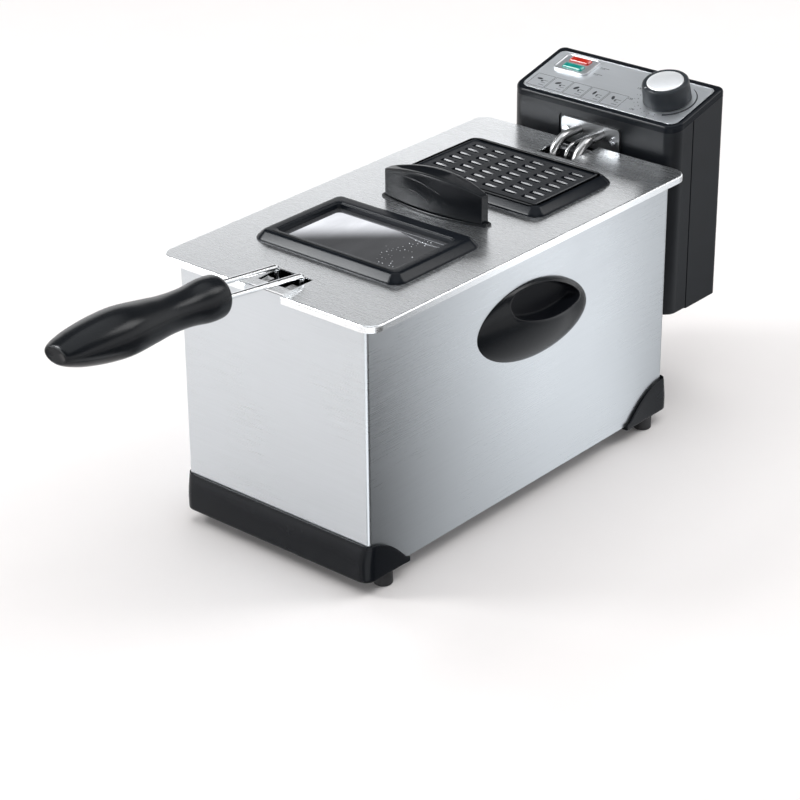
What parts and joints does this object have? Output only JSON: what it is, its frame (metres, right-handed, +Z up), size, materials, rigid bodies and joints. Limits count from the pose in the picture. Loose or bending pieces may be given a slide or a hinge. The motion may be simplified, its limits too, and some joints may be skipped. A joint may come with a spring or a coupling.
{
  "type": "deep fryer",
  "caption": "Countertop electric deep fryer: brushed steel casing, lid with window and vent, hook-on basket handle, lift-off rear control unit with thermostat knob and lamps.",
  "frame": {"origin": "middle of the whole object's outline in plan, on the worktop under the feet", "axes": "+Z up, -Y towards the basket handle at the front, +Y towards the control unit, +X to the right seen from the front"},
  "size_m": [0.198, 0.6146, 0.2597],
  "materials": {
    "brushed_steel": "brushed along the length",
    "lid_steel": "brushed across the width",
    "plate_steel": "fine brushed",
    "silver_fascia": "fine satin",
    "black_plastic": "satin moulded",
    "housing_plastic": "fine grain moulded",
    "grip_plastic": "satin moulded",
    "plinth_plastic": "satin moulded",
    "knob_plastic": "satin moulded",
    "knob_silver": "satin",
    "chrome": "polished",
    "zinc_screw": "bright zinc",
    "heater_steel": "drawn tube, slightly heat stained",
    "tank_enamel": "dark enamel",
    "base_steel": "galvanised sheet",
    "rubber": "matt",
    "gasket": "matt",
    "window_glass": "tinted toughened",
    "red_lens": "translucent",
    "green_lens": "translucent",
    "bezel_light": "gloss",
    "filter_metal": "expanded mesh",
    "ceramic": "moulded",
    "steatite": "moulded"
  },
  "bodies": {
    "base": {"casing": "brushed_steel", "base_plate": "base_steel", "front_plinth": "plinth_plastic", "rear_plinth": "plinth_plastic", "feet": "rubber", "base_screws": "zinc_screw", "left_grip": "grip_plastic", "right_grip": "grip_plastic", "grip_screws": "zinc_screw", "guide_channel": "black_plastic", "guide_screws": "zinc_screw"},
    "tank": {"oil_tank": "tank_enamel"},
    "control": {"control_front_shell": "housing_plastic", "control_rear_shell": "housing_plastic", "housing_screws": "zinc_screw", "control_cover": "black_plastic", "panel_fascia": "silver_fascia", "lamp_bezel": "bezel_light", "red_lamp": "red_lens", "green_lamp": "green_lens", "thermostat_body": "steatite", "limit_cutout": "steatite", "terminal_block": "ceramic", "cord_gland": "rubber", "microswitch": "steatite", "element_plate": "plate_steel", "plate_screws": "zinc_screw", "heating_element": "heater_steel", "thermostat_bulb": "heater_steel"},
    "knob": {"knob": "knob_plastic", "knob_cap": "knob_silver", "knob_shaft": "plate_steel"},
    "plunger": {"switch_plunger": "black_plastic"},
    "reset": {"reset_button": "red_lens"},
    "basket": {"basket_mesh": "chrome", "basket_rim": "chrome", "basket_bracket": "chrome"},
    "lid": {"lid_panel": "lid_steel", "window_frame": "black_plastic", "window_glass": "window_glass", "window_gasket": "gasket", "vent_frame": "black_plastic", "grease_filter": "filter_metal", "filter_retainer": "plate_steel", "lid_handle": "grip_plastic", "lid_screws": "zinc_screw"},
    "handle": {"handle_rods": "chrome", "handle_grip": "grip_plastic"}
  },
  "joints": [
    {"name": "tank_lift", "type": "slide", "parent": "base", "child": "tank", "axis": [0, 0, 1], "range_m": [0, 0.13]},
    {"name": "control_lift", "type": "slide", "parent": "tank", "child": "control", "axis": [0, 0, 1], "range_m": [0, 0.12]},
    {"name": "basket_lift", "type": "slide", "parent": "control", "child": "basket", "axis": [0, 0, 1], "range_m": [0, 0.1]},
    {"name": "lid_lift", "type": "slide", "parent": "basket", "child": "lid", "axis": [0, 0, 1], "range_m": [0, 0.06]},
    {"name": "handle_unhook", "type": "slide", "parent": "lid", "child": "handle", "axis": [0, 0, 1], "range_m": [0, 0.03]},
    {"name": "knob_turn", "type": "hinge", "parent": "control", "child": "knob", "pos_m": [0.0465, 0.27155, 0.24004], "axis": [0, -0.2385, 0.9711], "range_deg": [-270, 0]},
    {"name": "plunger_press", "type": "slide", "parent": "control", "child": "plunger", "axis": [0, 1, 0], "range_m": [0, 0.0018], "stiffness_N_per_m": 200, "springref_m": -0.001},
    {"name": "reset_press", "type": "slide", "parent": "control", "child": "reset", "axis": [0, -1, 0], "range_m": [0, 0.0018], "stiffness_N_per_m": 300, "springref_m": -0.001}
  ]
}
